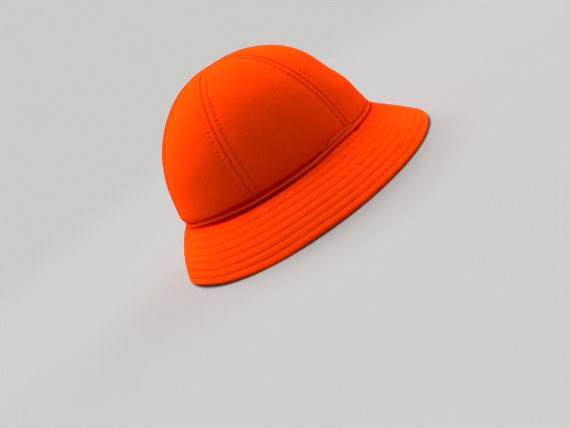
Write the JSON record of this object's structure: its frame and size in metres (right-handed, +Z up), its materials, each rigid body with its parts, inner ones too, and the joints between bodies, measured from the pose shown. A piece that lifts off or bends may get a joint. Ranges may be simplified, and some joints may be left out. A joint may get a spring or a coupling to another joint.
{
  "type": "soft brimmed work hat",
  "caption": "Soft high-visibility work hat: domed crown of sewn gores with top-stitched seams, corded welt, and a padded brim quilted in rows that slopes down all round.",
  "frame": {"origin": "bottom centre of the bounding box, on the level surface that the brim's edge stands on", "axes": "+X to the front of the hat, +Y to its left side, +Z up"},
  "size_m": [0.2889, 0.2488, 0.1566],
  "materials": {
    "knit_orange": "brushed fluorescent orange knit, matt with a soft nap",
    "welt_knit": "orange knit strip folded round a cord",
    "lining_cloth": "plain woven orange lining, slight sheen",
    "foam_interlining": "white foam-backed felt",
    "brim_foam": "stiffened white foam",
    "filler_cord": "twisted natural cotton cord",
    "sweatband_cotton": "dark cotton twill band",
    "thread": "orange polyester sewing thread"
  },
  "bodies": {
    "root": {"crown_panel_front_left": "knit_orange", "crown_interlining_front_left": "foam_interlining", "lining_panel_front_left": "lining_cloth", "crown_panel_left": "knit_orange", "crown_interlining_left": "foam_interlining", "lining_panel_left": "lining_cloth", "crown_panel_rear_left": "knit_orange", "crown_interlining_rear_left": "foam_interlining", "lining_panel_rear_left": "lining_cloth", "crown_panel_front_right": "knit_orange", "crown_interlining_front_right": "foam_interlining", "lining_panel_front_right": "lining_cloth", "crown_panel_right": "knit_orange", "crown_interlining_right": "foam_interlining", "lining_panel_right": "lining_cloth", "crown_panel_rear_right": "knit_orange", "crown_interlining_rear_right": "foam_interlining", "lining_panel_rear_right": "lining_cloth", "brim_top_front": "knit_orange", "brim_core_front": "brim_foam", "brim_under_front": "knit_orange", "brim_top_rear": "knit_orange", "brim_core_rear": "brim_foam", "brim_under_rear": "knit_orange", "welt_cover": "welt_knit", "welt_cord": "filler_cord", "sweatband": "sweatband_cotton", "sweatband_stitching": "thread", "crown_topstitching": "thread", "brim_quilting_top": "thread", "brim_quilting_under": "thread"}
  },
  "joints": []
}
